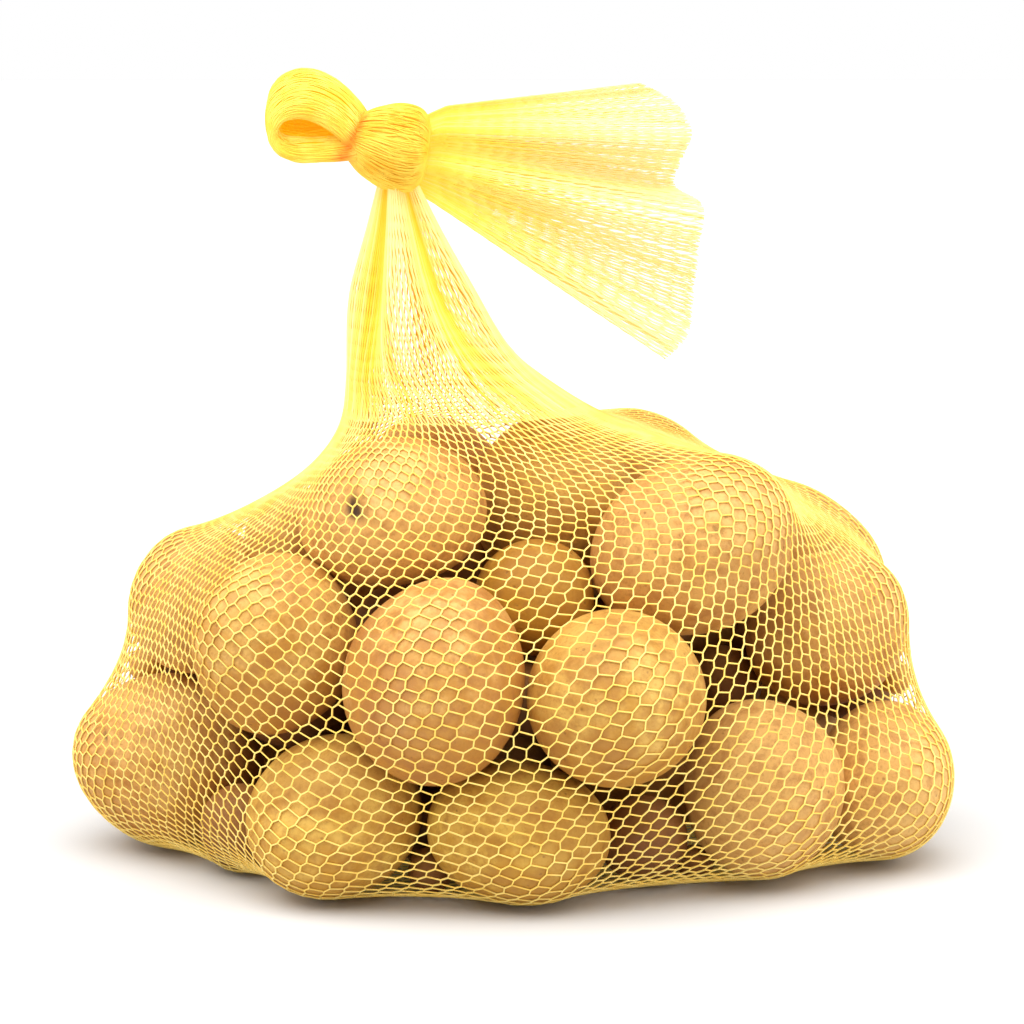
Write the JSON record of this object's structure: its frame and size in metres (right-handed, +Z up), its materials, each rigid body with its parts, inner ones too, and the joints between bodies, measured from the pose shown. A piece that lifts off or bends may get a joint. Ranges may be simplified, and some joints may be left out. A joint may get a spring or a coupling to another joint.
{
  "type": "net of potatoes",
  "caption": "Tied yellow net bag full of washed potatoes: bulging body, gathered neck, slipped knot with a small loop and a loose fanned end",
  "frame": {"origin": "centre of the bounding box on the floor that the net rests on", "axes": "+X along the net's length towards the loose end of the knot, +Y to the back as seen in the picture, +Z up"},
  "size_m": [0.2806, 0.178, 0.2477],
  "materials": {
    "net": "fine knitted yellow plastic net, slightly shiny",
    "potato_skin": "dry pale tan potato skin, matt, shown through the net"
  },
  "bodies": {
    "root": {"filled_net": "net"}
  },
  "joints": []
}
